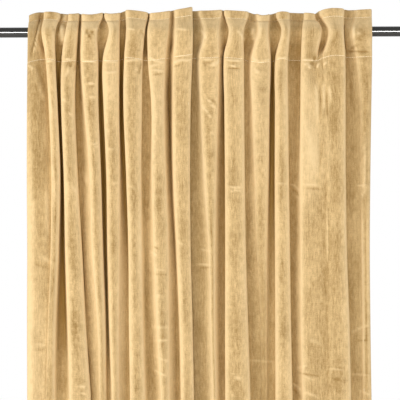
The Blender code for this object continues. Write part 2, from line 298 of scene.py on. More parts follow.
# Curtain panels. Each is one length of velvet, turned over at the top and down the back, held by an
# upper and a lower row of stitches with the rod between them, and hanging in folds that are as wide,
# deep and crooked as the gathers make them. Tables are in millimetres from the rod's axis.
MM = 0.001
DROP, FOOT_SPREAD = 2400.0, 0.03
LAYER_SPACING, CLOTH_THICKNESS = 3.0, 2.0
TOP_HEIGHT, UPPER_SEAM, LOWER_SEAM = 46, 31, -66
TURNED_HEM, TURNED_HEM_INSET = -75, 9
TOP_TURNS = (45, 90, 135)

# A fold's edges are its left and right sides at the edge heights, and its front and hollow the depths of
# its crest and of the valley on its right at the depth heights. Its lift is how far its left side, middle
# and right side ride up at the seams. A bank is how far from its left or right edge the valley's floor
# starts, near the top and lower down. Its lean and tilt turn its front and that floor, also in two places.
EDGE_HEIGHTS = (38, 0, LOWER_SEAM, -180, -350, -535, -720, -890)
DEPTH_HEIGHTS = (0, LOWER_SEAM, -150, -600, -890)
Fold = namedtuple("Fold", "edges front hollow lift bank lean tilt")

LEFT_FOLDS = (
    Fold(((-418, -392), (-419, -397), (-421, -384), (-422, -377),
          (-423, -375), (-423, -377), (-424, -382), (-424, -387)),
         (-38, -33, -35, -38, -41), (-28, -23, -24, -36, -41),
         (-8, -2, 1), ((0, 0), (4, 4)), (16, 3), (0, 0)),
    Fold(((-382, -343), (-386, -353), (-377, -354), (-369, -349),
          (-363, -343), (-365, -347), (-372, -354), (-377, -356)),
         (-44, -38, -40, -42, -42), (-26, -2, 12, 1, -26),
         (1, 1, -2), ((-4, -4), (-4, 4)), (0, 2), (0, 5)),
    Fold(((-322, -296), (-327, -298), (-338, -303), (-339, -306),
          (-333, -300), (-330, -290), (-325, -281), (-320, -270)),
         (-44, -36, -40, -44, -46), (-17, -4, -12, -20, -24),
         (-4, -4, -2), ((-4, 6), (-3, -2)), (5, 5), (2, 0)),
    Fold(((-289, -238), (-289, -250), (-291, -249), (-284, -249),
          (-271, -243), (-266, -239), (-252, -233), (-248, -231)),
         (-46, -38, -42, -44, -36), (-27, -2, 10, -3, -22),
         (-4, -6, -1), ((6, 22), (-3, 2)), (5, 5), (0, 2)),
    Fold(((-233, -195), (-221, -196), (-237, -197), (-235, -198),
          (-229, -196), (-227, -196), (-223, -198), (-217, -198)),
         (-44, -37, -42, -42, -40), (-17, -1, 11, -19, -22),
         (-2, -4, -1), ((-4, 4), (-4, 16)), (5, 4), (2, -6)),
    Fold(((-181, -127), (-179, -134), (-184, -140), (-186, -142),
          (-180, -144), (-175, -142), (-174, -140), (-172, -135)),
         (-47, -40, -44, -44, -44), (-18, -20, -20, -21, -19),
         (5, 3, -1), ((-4, -4), (-3, 5)), (5, 6), (2, 0)),
    Fold(((-122, -72), (-127, -75), (-126, -82), (-118, -86),
          (-118, -82), (-114, -76), (-107, -75), (-98, -74)),
         (-46, -38, -42, -44, -44), (-26, -17, -9, -18, -19),
         (-3, -1, 3), ((-2, 13), (6, 14)), (5, 7), (9, -4)),
    Fold(((-61, -18), (-61, -17), (-65, -18), (-67, -23),
          (-66, -25), (-58, -24), (-51, -20), (-48, -17)),
         (-48, -40, -44, -44, -44), (-38, -30, -34, -34, -34),
         (5, 8, 12), ((7, 2), (0, 0)), (0, 2), (0, 0)),
)

RIGHT_FOLDS = (
    Fold(((-2, 55), (11, 48), (-2, 49), (1, 46),
          (8, 41), (20, 38), (24, 37), (29, 39)),
         (-44, -37, -40, -42, -42), (-26, -8, -8, -17, -21),
         (3, 3, 5), ((6, 15), (8, 8)), (0, 0), (8, 5)),
    Fold(((61, 120), (72, 108), (60, 108), (61, 108),
          (62, 109), (62, 111), (61, 116), (61, 121)),
         (-47, -40, -44, -46, -46), (-26, -16, -21, -23, -21),
         (4, 2, 0), ((-3, -3), (-4, -4)), (0, 0), (4, 0)),
    Fold(((140, 172), (143, 168), (125, 173), (127, 170),
          (132, 168), (137, 165), (147, 164), (147, 164)),
         (-44, -37, -40, -30, -22), (-24, 1, 9, -18, -18),
         (-5, -9, -6), ((5, 18), (4, 6)), (0, 0), (0, -6)),
    Fold(((189, 221), (201, 221), (186, 216), (185, 216),
          (184, 217), (184, 219), (184, 221), (184, 224)),
         (-46, -38, -42, -44, -44), (-26, -14, -19, -21, -20),
         (-2, 0, -2), ((-4, -4), (-4, -4)), (0, 0), (9, 1)),
    Fold(((257, 284), (252, 298), (249, 287), (247, 293),
          (245, 294), (245, 298), (245, 298), (249, 298)),
         (-45, -38, -44, -44, -44), (-27, -34, -42, -43, -43),
         (-3, -4, -5), ((-2, 12), (2, 4)), (4, 2), (0, 0)),
    Fold(((296, 355), (316, 352), (303, 356), (309, 356),
          (312, 356), (315, 358), (316, 364), (315, 367)),
         (-47, -40, -45, -46, -46), (-27, -15, -17, -24, -23),
         (2, 8, 6), ((2, 4), (-4, -4)), (-2, 0), (4, 3)),
    Fold(((384, 423), (372, 422), (382, 422), (392, 420),
          (392, 417), (394, 415), (396, 416), (396, 418)),
         (-38, -32, -30, -30, -30), (-28, -24, -22, -22, -22),
         (4, 5, 6), ((18, 16), (0, 0)), (0, -6), (0, 0)),
)

# The right curtain's first edge is tucked into the left curtain's last valley
TUCKED_EDGE = (-22, -22, -22, -34, -34, -34, -34, -32)
TUCKED_HOLLOW = (-28, -16, -19, -21, -21)
TUCKED_TILT = (4, 0)

# The usual way over the rod, in front and behind. A fold that stands out more or less than usual does so
# over the header and the pocket's front, and by a share of it behind. A valley that is deeper or flatter
# than usual is so in the pocket's front, and by a share of it in the header and behind.
Row = namedtuple("Row", "height crest hollow inset")
USUAL_CREST, USUAL_HOLLOW = -46, -17
HEADER_SHARE, BACK_SHARE = 0.3, 0.3
HEADER_ROWS = (Row(TOP_HEIGHT, -22, 0, 0), Row(UPPER_SEAM, -26, -3, 9))
POCKET_FRONT = (Row(18, -36, -7, 0), Row(4, -45, -17, 0), Row(-14, -47, -17, 0), Row(-40, -43, -6, 0))
POCKET_BACK = (Row(21, -6, 4, 16), Row(10, 16, 25, 16), Row(-8, 18, 34, 16), Row(-30, 10, 30, 16),
               Row(-48, -14, 15, 12))

# Where a fold rides up, and the two heights between which its lean, tilt and banks change
LIFT_HEIGHTS = (TOP_HEIGHT, UPPER_SEAM, 21, -30, LOWER_SEAM, -190)
LIFT_SHARES = (1, 1, 0, 0, 1, 0)
LEAN_HEIGHTS, TILT_HEIGHTS, BANK_HEIGHTS = (-150, -520), (-250, -420), (-150, -560)

# A fold's left corner is softer than its right one, and a painted sheen highlight makes the pile paler
# from each side to the corner.
# A valley's floor is a little hollow, and a deep valley may run in under the folds beside it. The left
# curtain's own edge curls back, more so lower down.
LEFT_CORNER, RIGHT_CORNER, CORNER_SHARE, CORNER_DEPTH = 10.0, 6.0, 0.35, 1.5
CORNER_IN, CORNER_BACK = 0.22, 0.4
SIDE_DEPTH, FRONT_BULGE = 0.5, 1.0
PAINTED_SHEEN_DEPTH, LEFT_PAINTED_SHEEN, RIGHT_PAINTED_SHEEN = 18.0, (0.4, 0.7, 0.15), (0.35, 1.0, 0.7)
VALLEY_DEPTH, FLOOR_WIDTH = 0.1, 4.5
UNDERCUT_DEPTH, UNDERCUT_HEIGHTS = 36, (-75, -150)
CURL_DEPTHS, CURL_WIDTHS = (3, 26), (12, 24)

# Behind the rod the folds are softer, with rounder corners and wider valleys
SOFT_HEIGHTS, SOFT_SHARES = (UPPER_SEAM, 10, -30, LOWER_SEAM), (0, 1, 1, 0)
SOFT_CORNER, SOFT_BANK = 14.0, 0.18

# Steps between two points of a fold, and the spacing of the rows from each height down, which are close
# where creases cross the folds and wide below the part that is looked at
STEPS_ACROSS = 2
BACK_STEP = 9.0
SHOWN_DEPTH = -910
ROW_STEPS = ((TOP_HEIGHT, 2.4), (-112, 6.2), (-126, 2.7), (-142, 6.2), (-264, 2.7), (-302, 6.2),
             (-364, 2.7), (-396, 6.2), (-514, 2.7), (-546, 6.2), (-566, 2.7), (-604, 6.2),
             (-724, 2.9), (-768, 6.2), (-796, 3.0), (-896, 7.0), (SHOWN_DEPTH, 60.0), (-DROP, 0))

# Painted light on the ledge just under the upper seam, then how far behind the folds' fronts a valley's
# painted shade starts, and how much deeper it is where that painted shade is darkest
LEDGE_PAINTED_LIGHT, LEDGE_HEIGHT, LEDGE_WIDTH = 0.16, 20, 8
FRONT_ROOM, DEEPEST_VALLEY = 8, 40

# Seams pull the cloth in. Creases are soft ridges, or troughs where the height is below nothing, from a
# start to an end, bowed sideways in the middle, with a painted highlight along a ridge and painted shade
# along a trough. Rolls and crushing are the cloth's own slight unevenness.
UPPER_STITCHES, LOWER_STITCHES = 29, -69
SEAM_PULL, SEAM_WIDTH = 2.2, 3.0
ROLL_HEIGHT, ROLL_WIDTH, ROLL_LENGTH, ROLL_LAYER = 1.6, 26, 150, 0.3
CRUSH_HEIGHT, CRUSH_WIDTH, CRUSH_LENGTH, CRUSH_LAYER = 0.9, 14, 17, 5.1
NEAR_WIDTHS, NEAR_ROOM = 5, 12
CREASE_STRENGTH, CREASE_REACH, END_LENGTH, END_SHARE = 1.4, 3, 1.5, 0.2
CREASE_PAINTED_LIGHT, PALE_WIDTH, DARKEST, PALEST = 0.75, 2.0, -0.7, 0.9
PUCKER_HEIGHTS, PUCKER_SHARES = (-110, -240), (1.0, 0.5)
Crease = namedtuple("Crease", "start end width height bow", defaults=(0,))
CREASES = (
    # left end fold
    Crease((-393, 43), (-395, 18), 2.2, -3.2),
    Crease((-395, 18), (-413, -60), 2.2, -3.4),
    Crease((-390, 28), (-407, -55), 2.4, 1.8),
    Crease((-420, -84), (-408, -94), 2.4, 2, 2),
    Crease((-397, -75), (-377, -153), 6, -2.2),
    Crease((-404, -99), (-385, -168), 5, 1.8),
    Crease((-397, -548), (-355, -570), 4, 1.6),
    Crease((-407, -565), (-368, -584), 4, -1.4),
    Crease((-405, -766), (-376, -770), 2.8, 1.3, 2),
    Crease((-403, -780), (-378, -776), 3.5, -1.1),
    Crease((-416, -364), (-402, -511), 6, 2),
    # second fold and its pleat
    Crease((-329, 46), (-331, 24), 4, 8),
    Crease((-336, 18), (-336, -26), 4.4, 10),
    Crease((-347, 18), (-346, -1), 2.4, -3),
    Crease((-356, 9), (-353, -58), 2, -1.8, 2.5),
    Crease((-375, -75), (-358, -71), 2.2, 1.6),
    Crease((-368, -148), (-360, -217), 3, 1.4),
    Crease((-360, -315), (-353, -413), 3, 1.5),
    Crease((-375, -388), (-372, -511), 5, 2.2),
    # third fold
    Crease((-328, -69), (-314, -68), 1.8, 2),
    Crease((-309, -72), (-320, -92), 2, -2.2),
    Crease((-301, -70), (-308, -99), 2.2, -2),
    Crease((-316, -84), (-328, -114), 3, 1.6),
    Crease((-338, -165), (-323, -173), 2.4, 1.5),
    Crease((-321, -200), (-309, -210), 2, 1.8, 2),
    Crease((-316, -374), (-299, -398), 3, 1.6),
    Crease((-299, -868), (-279, -876), 2.2, 2.4, 4),
    Crease((-296, -883), (-279, -883), 2, 2, -3),
    Crease((-304, -844), (-284, -859), 2.6, -1.6),
    # fourth fold
    Crease((-278, 6), (-270, -16), 1.8, -2.2),
    Crease((-261, 1), (-268, -16), 1.8, -2),
    Crease((-284, -74), (-252, -76), 2, 1.8, 1),
    Crease((-271, -130), (-258, -129), 1.7, 1.7, 0.8),
    Crease((-274, -138), (-256, -136), 2.6, -0.9, 1),
    Crease((-270, -163), (-255, -162), 2, 1.2),
    Crease((-265, -276), (-248, -271), 2.2, 2.2, -3),
    Crease((-260, -288), (-246, -283), 2, 1.6, 3),
    Crease((-284, -339), (-274, -374), 3, 2.4),
    Crease((-248, 9), (-255, 1), 2, 1.5),
    # fifth fold
    Crease((-235, -73), (-198, -75), 2, 1.8, -1),
    Crease((-230, -102), (-201, -100), 2.2, 1.2),
    Crease((-225, -290), (-206, -288), 3, 1),
    Crease((-216, -374), (-196, -371), 3, 1.2),
    # sixth fold
    Crease((-143, -77), (-151, -109), 2.2, -2.6, 1),
    Crease((-150, -80), (-154, -99), 1.8, 1.4),
    Crease((-181, -75), (-142, -71), 2.2, 1.8, 2),
    Crease((-142, 4), (-132, -31), 2, -2),
    Crease((-176, 6), (-157, 1), 2.2, 1.2),
    Crease((-153, -359), (-151, -388), 1.8, 2.4),
    Crease((-176, -376), (-157, -388), 3, 1.2),
    # seventh fold
    Crease((-122, -65), (-83, -77), 2, 2, -3),
    Crease((-119, -97), (-89, -99), 1.7, 1.5, 1.5),
    Crease((-116, -108), (-92, -105), 2.4, -0.9),
    Crease((-120, -87), (-103, -82), 2, 1.4),
    Crease((-120, -538), (-105, -551), 1.9, 2.6),
    Crease((-115, -526), (-100, -535), 2.2, -1.6),
    Crease((-112, -584), (-84, -587), 2, 1.1, 1.5),
    Crease((-118, -594), (-78, -597), 2.4, -1.4),
    Crease((-115, -648), (-69, -650), 2.2, 1.6, -2),
    Crease((-118, -724), (-71, -726), 2.6, 1.4),
    Crease((-115, -758), (-71, -756), 2.2, 1.6),
    Crease((-113, -795), (-74, -810), 2.6, 1.4),
    Crease((-115, -829), (-83, -844), 2.2, 1.8),
    # eighth fold
    Crease((-65, -78), (-34, -70), 1.9, 2.6, 1),
    Crease((-34, -74), (-23, -71), 1.6, 2.4),
    Crease((-61, -89), (-44, -81), 2.2, -1.6),
    Crease((-59, -62), (-24, -61), 1.5, 1.4),
    Crease((-54, 4), (-29, 1), 2.6, 1.4),
    Crease((-59, -511), (-39, -526), 3, 1.2),
    # ninth fold
    Crease((7, -71), (34, -70), 1.7, 2),
    Crease((26, -94), (39, -74), 1.9, 2.8),
    Crease((15, -84), (29, -75), 2, -1.8),
    Crease((39, -84), (52, -67), 2, 1.8),
    Crease((17, -163), (39, -192), 2, 2.2),
    Crease((7, -182), (27, -214), 2.2, 1.8),
    Crease((24, -163), (44, -185), 2.4, -1.4),
    Crease((32, -250), (34, -255), 2, 2.4),
    Crease((0, -535), (29, -540), 2.2, 1.6),
    Crease((-5, -572), (28, -573), 1.5, 2.8),
    Crease((-2, -581), (27, -579), 2.2, -1.8),
    Crease((5, 4), (17, -21), 2.4, 1.6),
    # tenth fold
    Crease((64, -71), (105, -72), 1.9, 2.2, -2),
    Crease((77, -86), (92, -86), 1.7, 3.2, -1),
    Crease((71, -93), (98, -92), 2.2, -1.8),
    Crease((93, -1), (109, -26), 1.9, 1.8, 2),
    Crease((71, -381), (103, -381), 2, 2.2, -3),
    Crease((74, -396), (98, -393), 2, 2, 4),
    Crease((78, -408), (91, -403), 1.9, 1.8),
    Crease((78, -837), (93, -856), 2, 2, 3),
    Crease((88, -873), (81, -893), 2, 2, 2),
    Crease((98, -868), (105, -893), 2.6, -1.4),
    # eleventh fold
    Crease((127, -62), (151, -78), 1.9, 2.6, -3),
    Crease((134, -92), (146, -107), 2, 2),
    Crease((131, 6), (135, -23), 2.8, 4),
    Crease((157, -75), (172, -70), 2, 1.5),
    Crease((140, -303), (162, -300), 3, 1),
    Crease((113, -807), (184, -812), 2.4, 1.4),
    # twelfth fold
    Crease((194, -67), (218, -67), 1.8, 1.6),
    Crease((223, -376), (245, -393), 2, 2, 3),
    Crease((225, -388), (243, -406), 2, -2, 3),
    Crease((230, -403), (245, -410), 2, 1.6),
    Crease((189, -374), (216, -376), 2.6, 1.2),
    Crease((223, -864), (248, -883), 2.6, 2.4, 2),
    Crease((225, -878), (245, -898), 2.4, -2.2, 2),
    # joined folds
    Crease((252, -72), (284, -72), 1.8, 2, -1),
    Crease((265, -94), (273, -78), 1.8, 2.2),
    Crease((284, -62), (273, -87), 2, -2.4),
    Crease((257, -84), (267, -80), 1.8, 1.6),
    Crease((287, -92), (292, -80), 1.8, 1.8),
    Crease((304, -84), (311, -77), 1.8, 1.8),
    Crease((323, -89), (328, -75), 2, 1.2),
    Crease((285, -129), (288, -222), 2.2, 1.6),
    Crease((294, -134), (294, -232), 1.8, -1.8),
    Crease((304, -129), (303, -200), 1.9, 1.8),
    Crease((318, -134), (316, -192), 1.9, 1.6),
    Crease((311, -143), (311, -207), 2, -1.2),
    Crease((255, -212), (294, -369), 9, 2.6),
    Crease((299, -266), (289, -378), 4, -1.8),
    Crease((252, -376), (290, -380), 1.8, 1.5, 1),
    Crease((252, -386), (299, -388), 3, -1.8),
    Crease((310, -423), (311, -579), 2, 1.8),
    Crease((316, -428), (317, -565), 2.6, -1.2),
    Crease((235, -828), (260, -818), 2.2, 2.2),
    Crease((238, -837), (289, -845), 2.2, -2.4),
    Crease((307, -828), (350, -831), 1.8, 1.3, 1.5),
    Crease((318, -849), (352, -860), 2.2, -1.2, 1),
    Crease((255, -844), (274, -856), 2.4, 1.8),
    Crease((255, -883), (289, -898), 2.6, 1.8),
    Crease((284, -658), (318, -668), 4, 1.2),
    Crease((260, -751), (299, -770), 4, 1.4),
    # right end fold
    Crease((377, 11), (375, -21), 2.8, 2.6),
    Crease((386, -4), (387, -11), 2.2, 2.6),
    Crease((397, 14), (392, -31), 3, -1.6),
    Crease((372, -50), (385, -33), 2.6, -1.8),
    Crease((363, -50), (416, -52), 2, -1.6),
    Crease((406, -254), (404, -403), 4.5, 4),
    Crease((407, -261), (408, -388), 2.4, -1.8),
    Crease((387, -381), (407, -377), 2, 2.2),
    Crease((394, -410), (404, -393), 2, 2),
    Crease((398, -423), (400, -900), 1.8, 1.6),
    Crease((405, -423), (407, -900), 1.8, -1.6),
    Crease((372, -84), (372, -192), 4, -1.4),
    Crease((366, -843), (415, -845), 1.8, 1.5, 1),
    Crease((368, -741), (416, -722), 2.2, 2, 2),
    Crease((377, -761), (414, -758), 2.2, -1.6),
    Crease((392, -883), (416, -893), 2.4, 1.6),
)

# Places where brushing has made the pile paler, and places darkened with painted shade where the amount
# is below nothing, each with its middle, its half width and half height.
BrushedOrShaded = namedtuple("BrushedOrShaded", "place width height amount")
BRUSHED_OR_SHADED_PLACES = (
    BrushedOrShaded((-369, 36), 18, 12, -0.3),
    BrushedOrShaded((-277, 14), 18, 26, 0.4),
    BrushedOrShaded((-219, 22), 13, 24, 0.4),
    BrushedOrShaded((-221, -98), 15, 95, 0.35),
    BrushedOrShaded((-147, -540), 7, 70, 0.4),
    BrushedOrShaded((-106, -170), 15, 150, 0.4),
    BrushedOrShaded((146, 18), 10, 26, 0.6),
    BrushedOrShaded((137, -170), 18, 180, 0.35),
    BrushedOrShaded((210, -190), 11, 100, 0.3),
    BrushedOrShaded((272, -290), 26, 110, 0.6),
    BrushedOrShaded((262, -130), 12, 60, 0.3),
    BrushedOrShaded((404, -640), 9, 230, 0.4),
    BrushedOrShaded((-338, 8), 8, 14, -0.7),
    BrushedOrShaded((-296, 14), 7, 14, -0.6),
    BrushedOrShaded((-345, -80), 8, 60, -0.6),
    BrushedOrShaded((-45, 20), 16, 9, -0.35),
    BrushedOrShaded((-243, 12), 8, 12, -0.7),
    BrushedOrShaded((-128, 16), 6, 14, -0.5),
    BrushedOrShaded((-8, 8), 7, 16, -0.6),
    BrushedOrShaded((57, 13), 9, 14, -0.9),
    BrushedOrShaded((120, 2), 9, 16, -0.6),
    BrushedOrShaded((185, 14), 9, 14, -0.9),
    BrushedOrShaded((299, 12), 7, 18, -0.8),
    BrushedOrShaded((-395, -120), 18, 70, -0.3),
    BrushedOrShaded((-395, -330), 12, 120, -0.35),
    BrushedOrShaded((335, -130), 14, 60, -0.35),
    BrushedOrShaded((312, -290), 9, 80, 0.2),
    BrushedOrShaded((308, -640), 9, 270, -0.3),
    BrushedOrShaded((-405, -830), 24, 260, 0.3),
    BrushedOrShaded((-295, -105), 7, 60, -0.5),
    BrushedOrShaded((-73, -140), 9, 120, -0.6),
    BrushedOrShaded((57, -370), 8, 130, -0.35),
    BrushedOrShaded((237, -100), 18, 34, -0.4),
    BrushedOrShaded((242, -115), 6, 55, -0.6),
)


def between(heights, values, height):
    """Value at a height, on a smooth curve through the table's values, whose heights run down."""
    if height >= heights[0]:
        return values[0]
    if height <= heights[-1]:
        return values[-1]
    i = next(k for k in range(len(heights) - 1) if height >= heights[k + 1])
    span = heights[i] - heights[i + 1]
    t = (heights[i] - height) / span
    before, after = max(i - 1, 0), min(i + 2, len(heights) - 1)
    slope_in = (values[i + 1] - values[before]) / (heights[before] - heights[i + 1])
    slope_out = (values[after] - values[i]) / (heights[i] - heights[after])
    return (values[i] * (1 + 2 * t) * (1 - t) ** 2 + values[i + 1] * t * t * (3 - 2 * t)
            + span * (slope_in * t * (1 - t) ** 2 - slope_out * t * t * (1 - t)))


def depth_tables(front, hollow):
    """Heights, crest depths and hollow depths of one fold: for the front layer, then for the back."""
    crest_more, hollow_more = front[0] - USUAL_CREST, hollow[0] - USUAL_HOLLOW
    layers = ((POCKET_FRONT, 1, DEPTH_HEIGHTS[1:]), (POCKET_BACK, BACK_SHARE, (LOWER_SEAM, TURNED_HEM)))
    tables = []
    for pocket, share, below in layers:
        heights = [row.height for row in HEADER_ROWS + pocket] + list(below)
        crests = [row.crest + crest_more for row in HEADER_ROWS]
        crests += [row.crest + crest_more * share for row in pocket]
        crests += [between(DEPTH_HEIGHTS, front, z) for z in below]
        hollows = [row.hollow + hollow_more * HEADER_SHARE for row in HEADER_ROWS]
        hollows += [row.hollow + hollow_more * share for row in pocket]
        hollows += [between(DEPTH_HEIGHTS, hollow, z) for z in below]
        tables.append((heights, crests, hollows))
    return tables


def crest_points(left, right, front, left_depth, right_depth, lean, lift, corners):
    """The front of a fold, from its softly rounded left side to its sharper right side."""
    width = right - left
    left_in, right_in = (min(corner, CORNER_SHARE * width) for corner in corners)
    left_side = min(SIDE_DEPTH * left_depth, CORNER_DEPTH * left_in)
    right_side = min(SIDE_DEPTH * right_depth, CORNER_DEPTH * right_in)
    # painted sheen highlight at a fold's corners, full where its side runs deep
    left_sheen, right_sheen = min(1.0, left_depth / PAINTED_SHEEN_DEPTH), min(1.0, right_depth / PAINTED_SHEEN_DEPTH)
    outline = ((left, left_side, LEFT_PAINTED_SHEEN[0] * left_sheen),
               (left + CORNER_IN * left_in, CORNER_BACK * left_side, LEFT_PAINTED_SHEEN[1] * left_sheen),
               (left + left_in, 0, LEFT_PAINTED_SHEEN[2] * left_sheen),
               ((left + right) / 2, -FRONT_BULGE, 0),
               (right - right_in, 0, RIGHT_PAINTED_SHEEN[0] * right_sheen),
               (right - CORNER_IN * right_in, CORNER_BACK * right_side, RIGHT_PAINTED_SHEEN[1] * right_sheen),
               (right, right_side, RIGHT_PAINTED_SHEEN[2] * right_sheen))
    points = []
    for x, back, pale in outline:
        u = (x - left) / width
        rise = lift[0] * (1 - u) * (1 - 2 * u) + lift[1] * 4 * u * (1 - u) + lift[2] * u * (2 * u - 1)
        points.append(Vector((x, front + back + lean * (u - 0.5), rise, pale)))
    return points


def valley_points(left, right, hollow, left_depth, right_depth, left_bank, right_bank, lifts, tilt, height):
    """The floor between two folds. A bank is how far out from a fold's edge it starts, or in under it."""
    room = max(0.0, right - left - FLOOR_WIDTH)
    inward = min(1.0, room / max(1.0, max(0, left_bank) + max(0, right_bank)))
    full = min(1.0, (min(left_depth, right_depth) / UNDERCUT_DEPTH) ** 2)
    under = full * between(UNDERCUT_HEIGHTS, (0, 1), height)
    tilt *= full
    left_bank, right_bank = (bank * inward if bank > 0 else bank * under for bank in (left_bank, right_bank))
    middle = (left + left_bank + right - right_bank) / 2
    return [Vector((left + left_bank, hollow - tilt - VALLEY_DEPTH * left_depth, lifts[0], 0)),
            Vector((middle, hollow, (lifts[0] + lifts[1]) / 2, 0)),
            Vector((right - right_bank, hollow + tilt - VALLEY_DEPTH * right_depth, lifts[1], 0))]


def spread(x, height, middle):
    """A place across, moved outwards below the part that is looked at."""
    below = max(0.0, EDGE_HEIGHTS[-1] - height) / (DROP + EDGE_HEIGHTS[-1])
    return middle + (x - middle) * (1 + FOOT_SPREAD * below)


def section(folds, tables, tucked, height, behind):
    """Control points of a level cut through a curtain: across, depth, lift and the painted sheen on the pile.
    """
    middle = (folds[0].edges[-1][0] + folds[-1].edges[-1][1]) / 2
    edges = [tuple(spread(between(EDGE_HEIGHTS, [pair[side] for pair in fold.edges], height), height, middle)
                   for side in (0, 1)) for fold in folds]
    depths = []
    for pair in tables:
        heights, crests, hollows = pair[behind]
        depths.append((between(heights, crests, height), between(heights, hollows, height)))
    soft = between(SOFT_HEIGHTS, SOFT_SHARES, height) if behind else 0
    points = []
    fronts = depths[:len(folds)]
    if tucked:
        start = spread(between(EDGE_HEIGHTS, TUCKED_EDGE, height), height, middle)
        hollow = depths[-1][1]
        left_depth = hollow - fronts[0][0]
        bank = between(BANK_HEIGHTS, folds[0].bank[0], height)
        points += valley_points(start, edges[0][0], hollow, 0, left_depth, 0, bank, folds[0].lift[:1] * 2,
                                between(TILT_HEIGHTS, TUCKED_TILT, height), height)
    else:
        left_depth = between(BANK_HEIGHTS, CURL_DEPTHS, height)
    for i, fold in enumerate(folds):
        front, hollow = fronts[i]
        lean = between(LEAN_HEIGHTS, fold.lean, height) * (1 - soft)
        right_depth = max(0.0, hollow - front - lean / 2)
        corners = (LEFT_CORNER if i or tucked else between(BANK_HEIGHTS, CURL_WIDTHS, height), RIGHT_CORNER)
        corners = [corner + soft * (SOFT_CORNER - corner) for corner in corners]
        points += crest_points(*edges[i], front, left_depth, right_depth, lean, fold.lift, corners)
        if i + 1 < len(folds):
            left_depth = hollow - fronts[i + 1][0]
            lifts = (fold.lift[2], folds[i + 1].lift[0])
            open_bank = SOFT_BANK * (edges[i + 1][0] - edges[i][1])
            banks = [between(BANK_HEIGHTS, bank, height) for bank in (fold.bank[1], folds[i + 1].bank[0])]
            banks = [bank + soft * (open_bank - bank) for bank in banks]
            tilt = between(TILT_HEIGHTS, fold.tilt, height)
            points += valley_points(edges[i][1], edges[i + 1][0], hollow, right_depth, left_depth,
                                    *banks, lifts, tilt, height)
    return points


def smooth_line(points, steps):
    """A finer line through the same points, curved at each of them."""
    line = []
    for i in range(len(points) - 1):
        before, a = points[max(i - 1, 0)], points[i]
        b, after = points[i + 1], points[min(i + 2, len(points) - 1)]
        for k in range(steps):
            t = k / steps
            line.append(0.5 * (2 * a + (b - before) * t + (2 * before - 5 * a + 4 * b - after) * t * t
                               + (3 * a - before - 3 * b + after) * t ** 3))
    return line + [points[-1]]


def moved_back(points, distance):
    """The same section a little further back, measured square to the cloth."""
    moved = []
    squares = [Vector((a.y - b.y, b.x - a.x)).normalized() for a, b in zip(points, points[1:])]
    for i, point in enumerate(points):
        before, after = squares[max(i - 1, 0)], squares[min(i, len(squares) - 1)]
        both = before + after
        out = both * (2 * distance / max(both.length_squared, 1.0))
        moved.append(point + Vector((out.x, out.y, 0, 0)))
    return moved


def drawn_in(points, first, inset):
    """The last fold's part of a back section, drawn in from the curtain's side."""
    last = points[-1].x
    return [p - Vector((inset * max(0.0, (p.x - first) / (last - first)) ** 2, 0, 0, 0)) for p in points]


def row_plan():
    """Height, rise, distance back and layer of each row, from the turned hem over the top to the foot."""
    plan = []
    count = round((TOP_HEIGHT - TURNED_HEM) / BACK_STEP)
    for k in range(count + 1):
        plan.append((TURNED_HEM + (TOP_HEIGHT - TURNED_HEM) * k / count, 0, LAYER_SPACING, True))
    for turn in TOP_TURNS:
        half = LAYER_SPACING / 2
        plan.append((TOP_HEIGHT, half * sin(radians(turn)), half + half * cos(radians(turn)), False))
    for (top, step), (bottom, _) in zip(ROW_STEPS, ROW_STEPS[1:]):
        count = round((top - bottom) / step)
        for k in range(count):
            plan.append((top - (top - bottom) * k / count, 0, 0, False))
    plan.append((-DROP, 0, 0, False))
    return plan


def creases_near(height):
    """The creases that can reach a row."""
    near = []
    for crease in CREASES:
        room = NEAR_WIDTHS * crease.width + NEAR_ROOM
        low, high = sorted((crease.start[1], crease.end[1]))
        if low - room < height < high + room:
            near.append(crease)
    return near


def pushed_out(creases, x, z):
    """How far creases and the cloth's own unevenness push it forward at a place, in mm, and how much its
    pile is lifted by brushing, painted highlight and painted light and lowered by painted shade.
    """
    out, pale = 0.0, 0.0
    pucker = between(PUCKER_HEIGHTS, PUCKER_SHARES, z)
    for crease in creases:
        (x1, z1), (x2, z2) = crease.start, crease.end
        length = hypot(x2 - x1, z2 - z1)
        along = ((x - x1) * (x2 - x1) + (z - z1) * (z2 - z1)) / length
        off = ((x - x1) * (z2 - z1) - (z - z1) * (x2 - x1)) / length
        off += crease.bow * (1 - (2 * along / length - 1) ** 2)
        past = max(-along, along - length, 0.0)
        reach = hypot(off / crease.width, past / (END_LENGTH * crease.width))
        if reach < CREASE_REACH:
            share = pucker * exp(-reach * reach) * max(END_SHARE, 1 - (2 * along / length - 1) ** 4)
            out += CREASE_STRENGTH * crease.height * share
            # painted highlight along a ridge, painted shade along a trough
            pale += CREASE_PAINTED_LIGHT * crease.height * share * min(1.0, PALE_WIDTH / crease.width)
    # painted light on the ledge under the upper seam
    pale += LEDGE_PAINTED_LIGHT * exp(-((z - LEDGE_HEIGHT) / LEDGE_WIDTH) ** 2)
    # brushing, and painted shade where the amount is below nothing
    for brushed_or_shaded in BRUSHED_OR_SHADED_PLACES:
        away = hypot((x - brushed_or_shaded.place[0]) / brushed_or_shaded.width, (z - brushed_or_shaded.place[1]) / brushed_or_shaded.height)
        pale += brushed_or_shaded.amount * exp(-away * away)
    out += ROLL_HEIGHT * noise.noise(Vector((x / ROLL_WIDTH, ROLL_LAYER, z / ROLL_LENGTH)))
    out += CRUSH_HEIGHT * noise.noise(Vector((x / CRUSH_WIDTH, CRUSH_LAYER, z / CRUSH_LENGTH)))
    return out, max(DARKEST, min(PALEST, pale))


def seam_pull(height):
    """A row of stitches pulls the cloth in along its line."""
    seams = (UPPER_STITCHES, LOWER_STITCHES)
    return SEAM_PULL * sum(exp(-((height - seam) / SEAM_WIDTH) ** 2) for seam in seams)


